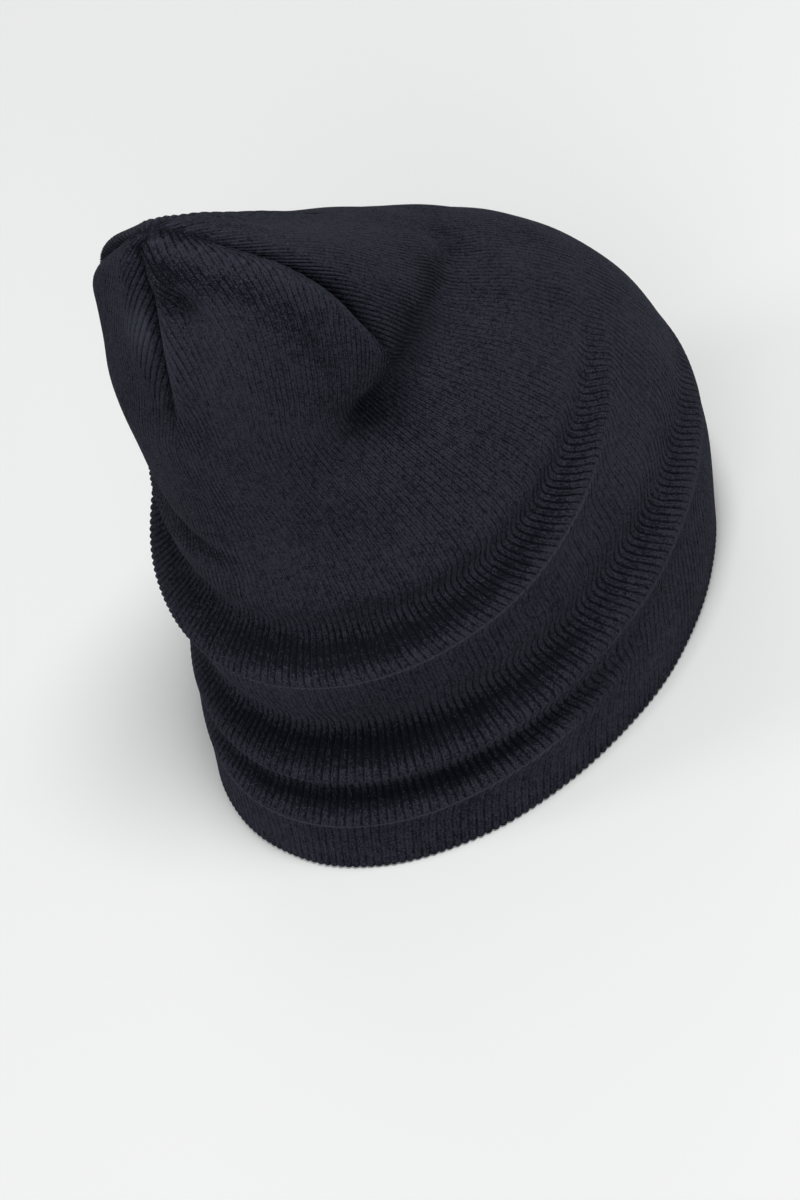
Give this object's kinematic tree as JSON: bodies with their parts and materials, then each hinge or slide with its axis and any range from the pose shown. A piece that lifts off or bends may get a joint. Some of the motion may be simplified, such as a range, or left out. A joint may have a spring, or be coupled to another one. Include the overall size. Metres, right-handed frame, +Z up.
{
  "type": "ribbed knit beanie",
  "caption": "Slouchy rib-knit beanie: a soft hollow cap with overhanging folds round the nape and a tall crown closed by sewn darts, standing on its open rim.",
  "frame": {"origin": "on the surface that the rim rests on, under the middle of the cap's bounding box", "axes": "+Z up from the rim to the crown, -Y towards the forehead, +Y towards the nape, -X towards the wearer's right"},
  "size_m": [0.1694, 0.2096, 0.2125],
  "materials": {
    "navy_rib_knit": "matte fine rib knit, very dark navy"
  },
  "bodies": {
    "root": {"knit_cap": "navy_rib_knit"}
  },
  "joints": []
}
